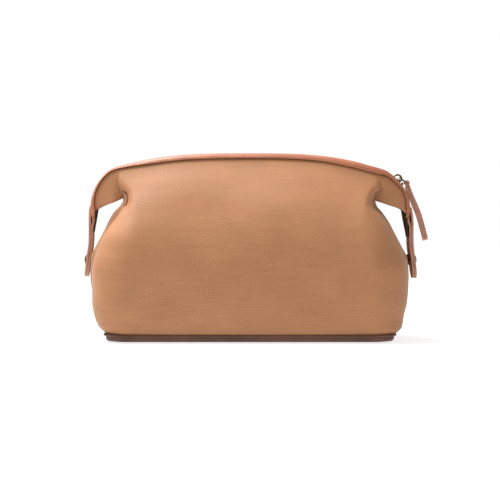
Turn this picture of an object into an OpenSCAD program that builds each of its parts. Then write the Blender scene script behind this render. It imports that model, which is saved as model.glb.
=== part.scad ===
// Shaving kit bag: a canvas wash bag with an arched zip top, two snap-down wings and leather trim.
// +X is the wearer's right as the bag is seen from the front, the front faces -Y, +Z is up.
// The origin is the middle of the base, on the surface that the bag stands on.

/* [Body] */
// Full width of the bag at its widest, low on the panels
body_w = 270; // [262:1:280]
// Full depth of the bag, front to back
body_d = 124; // [116:1:132]
// Height of the line where the leaning top of each panel starts to fold outward
fold_h = 105; // [102:1:108]
// Thickness of the canvas with its backing
canvas_t = 1.6; // [1:0.1:2]
// Thickness of the lining cloth
lining_t = 0.6; // [0.4:0.1:0.8]

/* [Base] */
// Width of the leather base
base_w = 247; // [240:1:250]
// Depth of the leather base
base_d = 109; // [104:1:112]
// Thickness of the base leather
base_t = 1.8; // [1.2:0.1:2.2]
// Height of the rolled leather welt round the base
welt_h = 4.6; // [3:0.1:4.6]
// Thickness of the stiffening board
board_t = 2; // [1:0.1:2.2]

/* [Zip] */
// Radius of the arc that the zip lies on
zip_r = 386; // [380:1:392]
// Height of the zip chain at the middle of the bag
zip_top = 157.5; // [156:0.5:159]
// Half width of the straight stretch of mouth, out to the shoulders
mouth_x = 110; // [109:0.5:111]
// Spacing of the zip teeth
tooth_pitch = 4; // [3:0.5:6]
// Distance of the parked slider from the middle of the bag
slider_x = 127; // [126:0.5:128]

/* [Leather] */
// Thickness of the leather facings
facing_t = 1.6; // [1.2:0.1:1.8]
// Width of the end tabs
tab_w = 18; // [15:1:20]
// Height of the tabs' lower ends above the ground
tab_low = 54.5; // [52:0.5:58]
// Length of the leather pull, from the bail to its tip
pull_len = 52; // [46:1:56]
// Width of the leather pull
pull_w = 8; // [6:0.5:9]

/* [Snaps] */
// Height of the snap fasteners above the ground
snap_h = 69; // [66:0.5:72]
// Radius of the brass snap caps
cap_r = 4.9; // [4:0.1:5.5]

/* [Hidden] */
$fn = 48;

half_w = body_w / 2;
half_d = body_d / 2;
skin_low = base_t + welt_h + 0.4;
// the front panel's outer face, seen from the side: [y, z], from the welt up to the shoulder
side_path = [
    [-half_d + 7, skin_low], [-half_d + 2.5, 22], [-half_d, 42], [-half_d + 0.2, 62],
    [-half_d + 3, 82], [-half_d + 7.5, 96], [-half_d + 12, fold_h], [-half_d + 20, fold_h + 16]
];
fold_y = half_d - 12;
// the right half of the panel's outline, seen from the front: [x, z]
outline_path = [
    [half_w - 9.5, skin_low], [half_w - 4.5, 22], [half_w - 0.8, 38], [half_w, 52], [half_w - 2.4, 66],
    [half_w - 6, 78], [half_w - 9.4, 92], [half_w - 13.5, fold_h - 1], [112.5, fold_h + 14.5]
];
mouth_gap = 1.1;
corner_x = mouth_x - mouth_gap;
// the right gusset's outer face, seen from the front: [x, z]
gusset_set = 2.2;
gusset_path = concat(
    [for (i = [0 : len(outline_path) - 2]) outline_path[i] - [gusset_set, 0]],
    [[111.2, fold_h + 13], [110.4, fold_h + 27]]
);
gusset_t = 1.4;
cloth_gap = 0.2;

// the arc that the zip lies on
arc_z = zip_top - zip_r;
lip_angle = asin(mouth_x / zip_r);
slider_angle = asin(slider_x / zip_r);
slot_y = 6.5;
facing_rise = 3.2;
facing_y = 13;
flange_y = 16;
teeth_gap = 0.35;
tooth_size = [1.8, 2.9, 2.4];
tape_half_t = 0.3;
plate_gap = 0.3;
plate_t = 1.2;
slider_len = 9;
slider_w = 9.2;
slider_back = 5.5;

// the right wing's leather, seen from the front: its outer face from the shoulder down to the tab
wing_path = [
    [112, 148], [117, 146.2], [123, 142.2], [128.5, 137.2], [132.5, 131.6], [135.4, 124.6],
    [137.3, 116.4], [138.4, 108], [138.6, 99.5]
];
wing_y = 14.2;
ear_low = [[136.6, 99.5], [130, 110], [112.4, 120.5]];
tab_x = 137.1;
tab_t = 1.5;
tab_gap = 0.1;
stud_x = 131.8;
washer_x = 124;
bail_wire = 0.6;
bail_len = 8;
bail_half_w = 3.7;
bail_tilt = 18;
bail_pivot = [0.9, 4.4];
pull_angle = 73.8;
pull_t = 3.4;

function unit(v) = v / norm(v);
function side_of(path, i) =
    let (d = unit(path[min(i + 1, len(path) - 1)] - path[max(i - 1, 0)])) [-d[1], d[0]];
function shifted(path, by) = [for (i = [0 : len(path) - 1]) path[i] + by * side_of(path, i)];
function reversed(path) = [for (i = [len(path) - 1 : -1 : 0]) path[i]];
function strip(path, from, to) = concat(shifted(path, from), reversed(shifted(path, to)));
function mirrored(path) = [for (p = path) [-p[0], p[1]]];
function arc_height(x, r) = arc_z + sqrt(r * r - x * x);

module along_x(length) rotate([90, 0, 90]) linear_extrude(length, center = true) children();
module along_y(length) rotate([90, 0, 0]) linear_extrude(length, center = true) children();
module both_sides(plane) {
    children();
    mirror(plane) children();
}
module at_back() mirror([0, 1, 0]) children();
module at_left() mirror([1, 0, 0]) children();
// children() drawn as [radius, distance towards the front], swept from angle a1 to a2 over the zip's arc
module on_zip_arc(a1, a2)
    translate([0, 0, arc_z]) rotate([90, 0, 0]) rotate([0, 0, 90 - a2])
        rotate_extrude(angle = a2 - a1, $fn = 180) children();
module at_zip_angle(a) translate([0, 0, arc_z]) rotate([0, a, 0]) translate([0, 0, zip_r]) children();
module rounded_slab(w, d, h, r) {
    translate([-w / 2 + r, -d / 2, 0]) cube([w - 2 * r, d, h]);
    translate([-w / 2, -d / 2 + r, 0]) cube([w, d - 2 * r, h]);
    for (x = [-1, 1], y = [-1, 1])
        translate([x * (w / 2 - r), y * (d / 2 - r), 0]) cylinder(h = h, r = r);
}
// a skin between two radii of cloth: outer face shifted from the front panel's face by -from and -to
module panel_skin(from, to, half_outline)
    intersection() {
        along_x(2 * body_w) polygon(strip(side_path, -from, -to));
        along_y(2 * body_d) polygon(concat(half_outline, reversed(mirrored(half_outline))));
    }
module gusset_skin(from, to, inset)
    intersection() {
        along_y(2 * body_d) polygon(strip(gusset_path, from, to));
        along_x(2 * body_w) polygon(let (edge = shifted(side_path, -inset))
            concat(edge, [[-24, fold_h + 27]], [[24, fold_h + 27]], reversed(mirrored(edge))));
    }
// the leaning top of the front panel: a cloth grid from the fold line up to the facing's lower edge
top_cols = 12;
top_rows = 4;
module leaning_top(skin_in, t, half_x) {
    top_r = zip_r - 4.2;
    lean_out = 1.3;
    function outer(i, j) =
        let (x = half_x * (2 * i / top_cols - 1), v = j / top_rows, low = fold_h + 1.6)
        [x, -fold_y + (fold_y - flange_y + 0.6) * pow(v, lean_out), low + (arc_height(x, top_r) - low) * v]
            + skin_in * [0, 0.79, -0.61];
    function flat(i, j, layer) = (layer * (top_cols + 1) + i) * (top_rows + 1) + j;
    points = [
        for (layer = [0, 1], i = [0 : top_cols], j = [0 : top_rows]) outer(i, j) + layer * t * [0, 0.79, -0.61]
    ];
    front_faces = [for (i = [0 : top_cols - 1], j = [0 : top_rows - 1])
        [flat(i, j, 0), flat(i, j + 1, 0), flat(i + 1, j + 1, 0), flat(i + 1, j, 0)]];
    back_faces = [for (i = [0 : top_cols - 1], j = [0 : top_rows - 1])
        [flat(i, j, 1), flat(i + 1, j, 1), flat(i + 1, j + 1, 1), flat(i, j + 1, 1)]];
    low_faces = [for (i = [0 : top_cols - 1])
        [flat(i, 0, 0), flat(i + 1, 0, 0), flat(i + 1, 0, 1), flat(i, 0, 1)]];
    high_faces = [for (i = [0 : top_cols - 1])
        [flat(i, top_rows, 0), flat(i, top_rows, 1), flat(i + 1, top_rows, 1), flat(i + 1, top_rows, 0)]];
    left_faces = [for (j = [0 : top_rows - 1])
        [flat(0, j, 0), flat(0, j, 1), flat(0, j + 1, 1), flat(0, j + 1, 0)]];
    right_faces = [for (j = [0 : top_rows - 1])
        [flat(top_cols, j, 0), flat(top_cols, j + 1, 0), flat(top_cols, j + 1, 1), flat(top_cols, j, 1)]];
    polyhedron(points, concat(front_faces, back_faces, low_faces, high_faces, left_faces, right_faces));
}

// canvas body
panel_outline = concat(outline_path, [[corner_x, fold_h + 14.5], [corner_x, fold_h]]);
lining_outline = concat(
    [for (p = shifted(gusset_path, gusset_t + lining_t + 3 * cloth_gap)) if (p[1] < fold_h) p],
    [[corner_x, fold_h - 1]]
);
module front_panel() color("burlywood") panel_skin(0, canvas_t, panel_outline);
module back_panel() color("burlywood") at_back() panel_skin(0, canvas_t, panel_outline);
module right_gusset() color("peru") gusset_skin(0, gusset_t, canvas_t + cloth_gap);
module left_gusset() color("peru") at_left() gusset_skin(0, gusset_t, canvas_t + cloth_gap);

// lining
lining_in = canvas_t + cloth_gap;
module front_lining() color("tan") panel_skin(lining_in, lining_in + lining_t, lining_outline);
module back_lining() color("tan") at_back() panel_skin(lining_in, lining_in + lining_t, lining_outline);
module right_lining() color("tan")
    gusset_skin(gusset_t + cloth_gap, gusset_t + cloth_gap + lining_t, lining_in + lining_t + cloth_gap);
module left_lining() color("tan") at_left()
    gusset_skin(gusset_t + cloth_gap, gusset_t + cloth_gap + lining_t, lining_in + lining_t + cloth_gap);

// base
base_r = 12;
welt_t = 2.2;
module base_panel() color("sienna") rounded_slab(base_w, base_d, base_t, base_r);
module base_welt() color("sienna") translate([0, 0, base_t])
    difference() {
        rounded_slab(base_w, base_d, welt_h, base_r);
        translate([0, 0, -1]) rounded_slab(base_w - 2 * welt_t, base_d - 2 * welt_t, welt_h + 2, base_r - welt_t);
    }
board_inset = welt_t + 0.4;
module base_board() color("dimgray") translate([0, 0, base_t])
    rounded_slab(base_w - 2 * board_inset, base_d - 2 * board_inset, board_t, base_r - board_inset);
module base_lining() color("tan") translate([0, 0, base_t + board_t])
    rounded_slab(base_w - 2 * board_inset - 2, base_d - 2 * board_inset - 2, lining_t, base_r - board_inset - 1);

// leaning tops of the panels, with the facing, the tape and the teeth that ride on each
top_x = mouth_x - 3;
module front_panel_top() color("burlywood") leaning_top(0, canvas_t, top_x);
module back_panel_top() color("burlywood") at_back() leaning_top(0, canvas_t, top_x);
module front_top_lining() color("tan") leaning_top(canvas_t + cloth_gap, lining_t, top_x - 1);
module back_top_lining() color("tan") at_back() leaning_top(canvas_t + cloth_gap, lining_t, top_x - 1);
module facing_section()
    polygon([
        [zip_r + facing_rise - facing_t, slot_y], [zip_r + facing_rise, slot_y], [zip_r + facing_rise, facing_y],
        [zip_r - 3, flange_y], [zip_r - 3.9, flange_y - 1.3], [zip_r + facing_rise - facing_t, facing_y - 1]
    ]);
tape_rise = facing_rise - facing_t - 0.1;
module tape_section()
    polygon([
        [zip_r - tape_half_t, 2.2], [zip_r + tape_half_t, 2.2], [zip_r + tape_half_t, slot_y - 1.2],
        [zip_r + tape_rise, slot_y + 0.8], [zip_r + tape_rise, slot_y + 4.5],
        [zip_r + tape_rise - 2 * tape_half_t, slot_y + 4.5], [zip_r + tape_rise - 2 * tape_half_t, slot_y + 1],
        [zip_r - tape_half_t, slot_y - 0.9]
    ]);
module teeth_row(x1, x2)
    for (x = [x1 : tooth_pitch : x2])
        at_zip_angle(asin(x / zip_r)) translate([0, -teeth_gap - tooth_size[1] / 2, 0])
            cube(tooth_size, center = true);
module front_facing() color("indianred") on_zip_arc(-lip_angle, lip_angle) facing_section();
module back_facing() color("indianred") at_back() on_zip_arc(-lip_angle, lip_angle) facing_section();
module front_zip_tape() color("saddlebrown") on_zip_arc(-lip_angle, lip_angle) tape_section();
module back_zip_tape() color("saddlebrown") at_back() on_zip_arc(-lip_angle, lip_angle) tape_section();
teeth_start = -mouth_x + 2;
module front_zip_teeth() color("goldenrod") teeth_row(teeth_start, mouth_x - 2);
module back_zip_teeth() color("goldenrod") at_back() teeth_row(teeth_start + tooth_pitch / 2, mouth_x - 2);

// wings: the ends of the mouth, folded down outside the shoulders; drawn for the right side
wing_start = mouth_x + 1.2;
wing_end_angle = asin(132.4 / zip_r);
module wing_canvas() {
    ear = concat(shifted(wing_path, -facing_t - 0.1), ear_low);
    both_sides([0, 1, 0])
        translate([0, -wing_y - canvas_t / 2, 0]) along_y(canvas_t) polygon(ear);
    along_y(2 * wing_y)
        polygon(strip([[135.2, 101.8], [132.6, 105.9], [130, 110]], 0.6 - canvas_t, 0.6));
}
module wing_facings()
    both_sides([0, 1, 0])
        translate([0, -(slot_y + wing_y) / 2, 0]) along_y(wing_y - slot_y)
            polygon(strip(wing_path, -facing_t, 0));
module zip_end(teeth_to) {
    both_sides([0, 1, 0]) {
        on_zip_arc(asin(wing_start / zip_r), wing_end_angle)
            polygon([[zip_r - tape_half_t, 2.2], [zip_r + tape_half_t, 2.2],
                     [zip_r + tape_half_t, slot_y - 0.3], [zip_r - tape_half_t, slot_y - 0.3]]);
    }
    teeth_row(wing_start + 1.2, teeth_to);
    mirror([0, 1, 0]) teeth_row(wing_start + 1.2 + tooth_pitch / 2, teeth_to);
    along_y(2 * slot_y - 0.6) polygon(strip(
        [[133, 130], [134.8, 124.2], [136.2, 116.4], [137.2, 108], [137.4, 99.7]], -2 * tape_half_t, 0));
}
// a strap lying in the YZ plane with a round lower end, its inner face at x
module tab_strap(x, high)
    translate([x + tab_t / 2, 0, 0]) along_x(tab_t) {
        translate([-tab_w / 2, tab_low + tab_w / 2]) square([tab_w, high - tab_low - tab_w / 2]);
        translate([0, tab_low + tab_w / 2]) circle(d = tab_w);
    }
module snap_cylinder(x1, x2, r)
    translate([x1, 0, snap_h]) rotate([0, 90, 0]) cylinder(h = x2 - x1, r = r);
outer_tab_x = tab_x + tab_t + tab_gap;
cap_x = outer_tab_x + tab_t;
module snap_cap() {
    snap_cylinder(cap_x, cap_x + 1.4, cap_r);
    snap_cylinder(cap_x + 1.3, cap_x + 2.4, cap_r - 1.2);
}
socket_t = 2.9;
module snap_socket()
    difference() {
        snap_cylinder(tab_x - socket_t, tab_x, 5.4);
        snap_cylinder(tab_x - socket_t - 1, tab_x - 0.6, 3.5);
    }
module snap_stud() {
    snap_cylinder(washer_x, stud_x + 0.1, 1.5);
    snap_cylinder(stud_x, stud_x + 0.8, 5);
    snap_cylinder(stud_x + 0.7, stud_x + 3.4, 2.5);
}
module snap_washer() snap_cylinder(washer_x - 0.9, washer_x, 4.6);

module right_wing_canvas() color("burlywood") wing_canvas();
module left_wing_canvas() color("burlywood") at_left() wing_canvas();
module right_wing_facings() color("indianred") wing_facings();
module left_wing_facings() color("indianred") at_left() wing_facings();
module right_zip_end() color("saddlebrown") zip_end(slider_x - slider_back - 1.8);
module left_zip_end() color("saddlebrown") at_left() zip_end(slider_x);
module right_tab_outer() color("indianred") tab_strap(outer_tab_x, 106);
module left_tab_outer() color("indianred") at_left() tab_strap(outer_tab_x, 106);
module right_tab_inner() color("rosybrown") tab_strap(tab_x, 99);
module left_tab_inner() color("rosybrown") at_left() tab_strap(tab_x, 99);
module right_snap_cap() color("gold") snap_cap();
module left_snap_cap() color("gold") at_left() snap_cap();
module right_snap_socket() color("gold") snap_socket();
module left_snap_socket() color("gold") at_left() snap_socket();
module right_snap_stud() color("gold") snap_stud();
module left_snap_stud() color("gold") at_left() snap_stud();
module right_snap_washer() color("gold") snap_washer();
module left_snap_washer() color("gold") at_left() snap_washer();

// zip stops
module zip_top_stops() color("goldenrod")
    at_zip_angle(asin((slider_x + 4.7) / zip_r))
        for (side = [-1, 1]) translate([0, side * 1.2, 0]) cube([1.8, 1.6, 2.6], center = true);
module zip_bottom_stop() color("goldenrod")
    at_zip_angle(-asin((slider_x + 3) / zip_r)) translate([0, 0, 1.8]) cube([3, 4.4, 1], center = true);

// slider, bail and pull
tooth_half = tooth_size[2] / 2;
plate_z = tooth_half + plate_gap;
crown_wire = 0.6;
crown_r = 3.6;
module zip_slider() color("darkgoldenrod") at_zip_angle(slider_angle) {
    for (z = [plate_z, -plate_z - plate_t])
        translate([-slider_back, -slider_w / 2, z]) cube([slider_len, slider_w, plate_t]);
    for (side = [-1, 1], z = [0.5, -plate_z - 0.1])
        translate([-slider_back, side * (slider_w / 2 - 0.5) - 0.5, z]) cube([slider_len, 1, plate_z - 0.4]);
    translate([0.4, -1.2, -plate_z - 0.1]) cube([3, 2.4, 2 * plate_z + 0.2]);
    translate([-0.2, 0, plate_z + plate_t - 0.1]) rotate([90, 0, 0])
        rotate_extrude(angle = 180) translate([crown_r, 0]) circle(r = crown_wire);
}
module at_bail() at_zip_angle(slider_angle) translate([bail_pivot[0], 0, bail_pivot[1]]) rotate([0, bail_tilt, 0])
    children();
module pull_bail() color("darkgoldenrod") at_bail() {
    for (x = [0, bail_len]) {
        translate([x, 0, 0]) rotate([90, 0, 0]) cylinder(h = 2 * bail_half_w, r = bail_wire, center = true);
        for (side = [-1, 1]) translate([x, side * bail_half_w, 0]) sphere(r = bail_wire);
    }
    for (side = [-1, 1]) translate([0, side * bail_half_w, 0]) rotate([0, 90, 0]) cylinder(h = bail_len, r = bail_wire);
}
// the pull: a strap folded over the bail, its two layers sewn together, with a round tip
pull_loop_r = bail_wire + 0.4;
loop_t = 1.1;
module leather_pull() color("indianred")
    at_bail() translate([bail_len, 0, 0]) rotate([0, pull_angle - slider_angle - bail_tilt, 0]) {
        difference() {
            rotate([90, 0, 0]) cylinder(h = 2 * bail_half_w - 1.8, r = pull_loop_r + loop_t, center = true);
            rotate([90, 0, 0]) cylinder(h = pull_w, r = pull_loop_r, center = true);
        }
        translate([pull_loop_r + 0.8, -bail_half_w + 0.9, -pull_t / 2])
            cube([6, 2 * bail_half_w - 1.8, pull_t]);
        translate([6, -pull_w / 2, -pull_t / 2]) cube([pull_len - 6 - pull_w / 2, pull_w, pull_t]);
        translate([pull_len - pull_w / 2, 0, -pull_t / 2]) cylinder(h = pull_t, r = pull_w / 2);
    }

front_panel();
back_panel();
left_gusset();
right_gusset();
front_lining();
back_lining();
left_lining();
right_lining();
base_panel();
base_board();
base_lining();
base_welt();
left_snap_stud();
right_snap_stud();
left_snap_washer();
right_snap_washer();
front_panel_top();
front_top_lining();
front_facing();
front_zip_tape();
front_zip_teeth();
back_panel_top();
back_top_lining();
back_facing();
back_zip_tape();
back_zip_teeth();
left_wing_canvas();
left_wing_facings();
left_zip_end();
left_tab_outer();
left_tab_inner();
left_snap_cap();
left_snap_socket();
zip_bottom_stop();
right_wing_canvas();
right_wing_facings();
right_zip_end();
right_tab_outer();
right_tab_inner();
right_snap_cap();
right_snap_socket();
zip_top_stops();
zip_slider();
pull_bail();
leather_pull();
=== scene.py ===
import math

import bpy
import numpy as np
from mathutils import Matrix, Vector


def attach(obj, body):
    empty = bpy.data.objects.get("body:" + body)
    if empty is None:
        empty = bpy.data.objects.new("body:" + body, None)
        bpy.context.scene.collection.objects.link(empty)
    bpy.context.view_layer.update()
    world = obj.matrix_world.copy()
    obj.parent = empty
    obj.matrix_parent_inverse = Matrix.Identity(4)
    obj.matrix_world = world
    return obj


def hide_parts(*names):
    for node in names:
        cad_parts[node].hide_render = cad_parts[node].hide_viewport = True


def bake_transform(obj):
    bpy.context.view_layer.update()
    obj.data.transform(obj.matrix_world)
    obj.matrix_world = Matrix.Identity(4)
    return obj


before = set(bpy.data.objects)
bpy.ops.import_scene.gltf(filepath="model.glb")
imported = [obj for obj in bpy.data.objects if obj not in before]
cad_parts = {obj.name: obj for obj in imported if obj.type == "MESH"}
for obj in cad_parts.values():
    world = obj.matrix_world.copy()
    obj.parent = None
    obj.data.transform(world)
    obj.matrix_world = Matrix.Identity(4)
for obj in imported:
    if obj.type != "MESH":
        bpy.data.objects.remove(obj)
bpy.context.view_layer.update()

# ---------------------------------------------------------------- camera, light and floor
# The bag stands on a white sweep under one broad overhead softbox, with white walls all round
# filling the front. The camera is level with the middle of the bag and looks down very slightly.
MM = 0.001
VIEW_WIDTH = 428.5 * MM  # what the frame takes in across the bag
VIEW_CENTRE = Vector((0.0, -0.020, 0.0842))
VIEW_DISTANCE = 1.9
VIEW_DOWN = math.radians(1.8)


def linear(hex_colour):
    parts = [int(hex_colour[i : i + 2], 16) / 255 for i in (1, 3, 5)]
    return [c / 12.92 if c <= 0.04045 else ((c + 0.055) / 1.055) ** 2.4 for c in parts] + [1.0]


def aimed(obj, place, target):
    obj.location = place
    obj.rotation_euler = (Vector(target) - Vector(place)).to_track_quat("-Z", "Y").to_euler()
    bpy.context.scene.collection.objects.link(obj)
    return obj


camera_data = bpy.data.cameras.new("camera")
camera_data.sensor_width = 36
camera_data.lens = 36 * VIEW_DISTANCE / VIEW_WIDTH
camera_place = VIEW_CENTRE + VIEW_DISTANCE * Vector((0, -math.cos(VIEW_DOWN), math.sin(VIEW_DOWN)))
camera = aimed(bpy.data.objects.new("camera", camera_data), camera_place, VIEW_CENTRE)
bpy.context.scene.camera = camera
bpy.context.scene.view_settings.view_transform = "Standard"


def add(tree, kind, inputs=None, stops=(), **settings):
    """A node with its settings, a ramp's two stops, and inputs given as values or other nodes' outputs."""
    node = tree.nodes.new(kind)
    for key, value in settings.items():
        setattr(node, key, value)
    for key, value in (inputs or {}).items():
        if isinstance(value, bpy.types.NodeSocket):
            tree.links.new(value, node.inputs[key])
        else:
            node.inputs[key].default_value = value
    if stops:
        for element, (place, colour) in zip(node.color_ramp.elements, stops):
            element.position = place
            element.color = linear(colour)
    return node


def softbox(name, place, target, size, power):
    light = bpy.data.lights.new(name, "AREA")
    light.shape = "RECTANGLE"
    light.size, light.size_y = size
    light.energy = power
    aimed(bpy.data.objects.new(name, light), place, target)


softbox("overhead_softbox", (-0.5, 0.2, 1.25), (0, 0, 0.08), (0.9, 0.5), 34)
softbox("left_fill", (-1.6, -1.3, 0.7), (0, 0, 0.08), (0.8, 0.8), 5)
# The room is dimmer to the two sides, so that the ends of the bag fall into shade; the camera sees it white.
ROOM_LIGHT, ROOM_SIDES = 0.58, 0.4
DIM_FROM, DIM_TO = 0.4, 0.9  # how far sideways a direction points where the dimming starts and ends
world = bpy.data.worlds.new("white_room")
world.use_nodes = True
sky = world.node_tree
room = sky.nodes["Background"]
room.inputs["Color"].default_value = linear("#ffffff")
compass = add(sky, "ShaderNodeSeparateXYZ", {0: add(sky, "ShaderNodeTexCoord").outputs["Generated"]})
sideways = add(sky, "ShaderNodeMath", {0: compass.outputs[0]}, operation="ABSOLUTE")
dimmed = add(sky, "ShaderNodeMapRange",
             {0: sideways.outputs[0], 1: DIM_FROM, 2: DIM_TO, 3: ROOM_LIGHT, 4: ROOM_SIDES})
sky.links.new(dimmed.outputs[0], room.inputs["Strength"])
backdrop = add(sky, "ShaderNodeBackground", {"Color": linear("#ffffff"), "Strength": 1.0})
seen = add(sky, "ShaderNodeLightPath")
lit_or_seen = add(sky, "ShaderNodeMixShader",
                  {0: seen.outputs["Is Camera Ray"], 1: room.outputs[0], 2: backdrop.outputs[0]})
sky.links.new(lit_or_seen.outputs[0], sky.nodes["World Output"].inputs["Surface"])
bpy.context.scene.world = world

FLOOR_HALF = 3.0
floor_mesh = bpy.data.meshes.new("floor")
floor_corners = [(-1, -1), (1, -1), (1, 1), (-1, 1)]
floor_mesh.from_pydata([(x * FLOOR_HALF, y * FLOOR_HALF, 0) for x, y in floor_corners], [], [(0, 1, 2, 3)])
floor = bpy.data.objects.new("floor", floor_mesh)
bpy.context.scene.collection.objects.link(floor)


def new_material(name, roughness, metallic=0.0, sheen=0.0):
    material = bpy.data.materials.new(name)
    material.use_nodes = True
    shader = material.node_tree.nodes["Principled BSDF"]
    shader.inputs["Roughness"].default_value = roughness
    shader.inputs["Metallic"].default_value = metallic
    shader.inputs["Sheen Weight"].default_value = sheen
    return material, material.node_tree, shader


def connect(tree, shader, colour=None, height=None, depth=0.0, roughness=None):
    """Colour, and a bump whose height runs 0 to 1 over depth, on the shader."""
    if colour is not None:
        tree.links.new(colour, shader.inputs["Base Color"])
    if roughness is not None:
        tree.links.new(roughness, shader.inputs["Roughness"])
    if height is not None:
        bump = add(tree, "ShaderNodeBump", {"Strength": 1.0, "Distance": depth, "Height": height})
        tree.links.new(bump.outputs["Normal"], shader.inputs["Normal"])


# White acrylic lit from beneath, as on a product table: it only catches the soft shadow under the bag.
floor_paint, floor_tree, floor_shader = new_material("lit_white_acrylic", 0.9)
floor_shader.inputs["Base Color"].default_value = linear("#a0a0a0")
floor_shader.inputs["Emission Color"].default_value = linear("#ffffff")
floor_shader.inputs["Emission Strength"].default_value = 0.76
floor_mesh.materials.append(floor_paint)


# ---------------------------------------------------------------- canvas body
# Front and back are each one piece of heavy cotton twill, sewn to a side gusset down each corner
# and to the leather facing along the top. Filled, the cloth bellies out and leans in to the zip.
BASE_TOP = 6.4
# how much of the facing shows, (distance from the middle, height); on the left it rolls under
BAND = {-1: [(0, 3.4), (78, 3.6), (94, 3), (106, 1.9), (120, 1.4)],
        1: [(0, 3.4), (60, 3.8), (86, 4.5), (120, 4.5)]}
RIDGE = 160.7
ENDS = ((-1, "left"), (1, "right"))
WALLS = ((-1, "front"), (1, "back"))
# half widths up the body, (height, half width): the corner seams, drawn in under the shoulders, and
# the gussets between them at their fullest; the right side is packed slimmer
CORNERS = {
    -1: [(6, 122.6), (13, 129.6), (22, 133), (35, 135.2), (60, 135.3), (70, 133.8), (80, 130.6),
         (88, 127.4), (98, 121.4), (106, 116.4), (115, 111.4), (124, 108.8), (132, 109.4), (145, 113),
         (156, 115.4)],
    1: [(6, 124), (11, 129.4), (22, 131.6), (35, 134.6), (52, 135.8), (64, 134.9), (77, 131),
        (95, 122.4), (106, 116.6), (115, 111.6), (123, 107.4), (129, 107.2), (138, 110.6), (147, 112),
        (156, 111)],
}
GUSSETS = {
    -1: [(6, 121), (22, 130.4), (40, 135), (56, 137.2), (72, 136.6), (84, 131), (96, 125), (106, 121.6),
         (112, 119.2), (117, 116.4), (122, 112), (128, 109), (156, 107)],
    1: [(6, 122.4), (22, 129), (40, 134), (54, 136.4), (70, 135.4), (82, 129.8), (94, 123.8), (106, 118.8),
        (112, 116), (118, 113), (123, 109.4), (156, 104)],
}
HALF_DEPTHS = [(6, 54), (14, 57.6), (26, 60.6), (44, 62), (64, 61.6), (82, 58.4), (96, 53.6),
               (108, 48), (122, 40.2), (136, 30.6), (148, 20.4), (156, 14.4)]
CORNER_RADII = [(6, 16), (20, 26), (50, 34), (80, 32), (104, 24), (120, 14), (136, 7), (156, 3)]
GUSSET_TUCK = [(6, 0), (36, 1.5), (56, 6.4), (72, 6.8), (95, 8), (115, 12), (130, 9), (156, 3)]
PINCHES = {-1: (108.0, 120.8), 1: (108.8, 119.8)}  # where each shoulder is drawn in: across, and up
PINCH_DEPTH = 19.0
SEAM_VALLEY = [(6, 0), (60, 0.6), (84, 1.5), (100, 3), (118, 5), (130, 4), (140, 1), (156, 0)]
SHOULDER = {-1: 111.5, 1: 106.0}
SHOULDER_DROP = {-1: 11.0, 1: 11.6}


def smooth_through(keys, at):
    """A smooth curve through (place, value) keys, without overshoot."""
    x, y = np.array(keys, float).T
    step = np.diff(y) / np.diff(x)
    slope = np.zeros(len(x))
    same = step[:-1] * step[1:] > 0
    slope[1:-1][same] = 2 * step[:-1][same] * step[1:][same] / (step[:-1] + step[1:])[same]
    slope[0], slope[-1] = step[0], step[-1]
    at = np.clip(at, x[0], x[-1])
    i = np.clip(np.searchsorted(x, at) - 1, 0, len(x) - 2)
    width = x[i + 1] - x[i]
    t = (at - x[i]) / width
    return ((2 * t**3 - 3 * t**2 + 1) * y[i] + (t**3 - 2 * t**2 + t) * width * slope[i]
            + (3 * t**2 - 2 * t**3) * y[i + 1] + (t**3 - t**2) * width * slope[i + 1])


def smoothstep(value):
    t = np.clip(value, 0, 1)
    return t * t * (3 - 2 * t)


def ridge_drop(x):
    """How far the ridge has fallen from its middle at x: flat in the middle, rounding to the shoulders."""
    side = np.where(x < 0, -1, 1)
    reach = np.where(side < 0, SHOULDER[-1], SHOULDER[1])
    depth = np.where(side < 0, SHOULDER_DROP[-1], SHOULDER_DROP[1])
    return depth * np.minimum(np.abs(x) / reach, 1.06) ** 3.1


def body_point(height, around, inset=0.0):
    """A point of the body: around runs 0 at the middle of the front, 1 at the middle of a side,
    and 2 at the middle of the back; negative values go round by the left."""
    side = -1 if around < 0 else 1
    turn = abs(around)
    back = turn > 1
    turn = 2 - turn if back else turn
    half_w = float(smooth_through(CORNERS[side], height)) - inset
    half_d = float(smooth_through(HALF_DEPTHS, height)) - inset
    radius = min(float(smooth_through(CORNER_RADII, height)), half_d - 0.5, half_w)
    flat_x, flat_y = half_w - radius, half_d - radius
    if turn <= SEAM_AT:
        way = turn / SEAM_AT * (flat_x + radius * SEAM_TURN)
        angle = max(way - flat_x, 0) / radius
        x = min(way, flat_x) + radius * math.sin(angle)
        y = flat_y + radius * math.cos(angle)
    else:
        near = 1 - (turn - SEAM_AT) / (1 - SEAM_AT)
        seam_x, seam_y = flat_x + radius * math.sin(SEAM_TURN), flat_y + radius * math.cos(SEAM_TURN)
        full_x = float(smooth_through(GUSSETS[side], height)) - inset
        x = seam_x + (full_x - seam_x) * float(smoothstep((0.97 - near) / 0.24))
        x -= float(smooth_through(SEAM_VALLEY, height)) * math.exp(-(((near - 0.93) / 0.05) ** 2))
        x -= float(smooth_through(GUSSET_TUCK, height)) * (1 - near**2) ** 4
        y = seam_y * near
    x *= side
    z = height - smoothstep((height - 88) / 62) * ridge_drop(np.array(x))
    if turn <= SEAM_AT:
        across, up = PINCHES[side]
        y -= PINCH_DEPTH * math.exp(-(((abs(x) - across) / 4.4) ** 2) - ((z - up) / 6.4) ** 2)
    return x, y if back else -y, float(z)


SEAM_TURN = math.radians(76)  # how far round the corner's bend the seam lies
CORNER_LIFT = 1.7


def lifted(point):
    """The soft base touches the table along its middle and rides up a little at its ends."""
    x, y, z = point
    return x, y, z + CORNER_LIFT * (abs(x) / 125) ** 3 * (1 - float(smoothstep(z / 45)))


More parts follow.
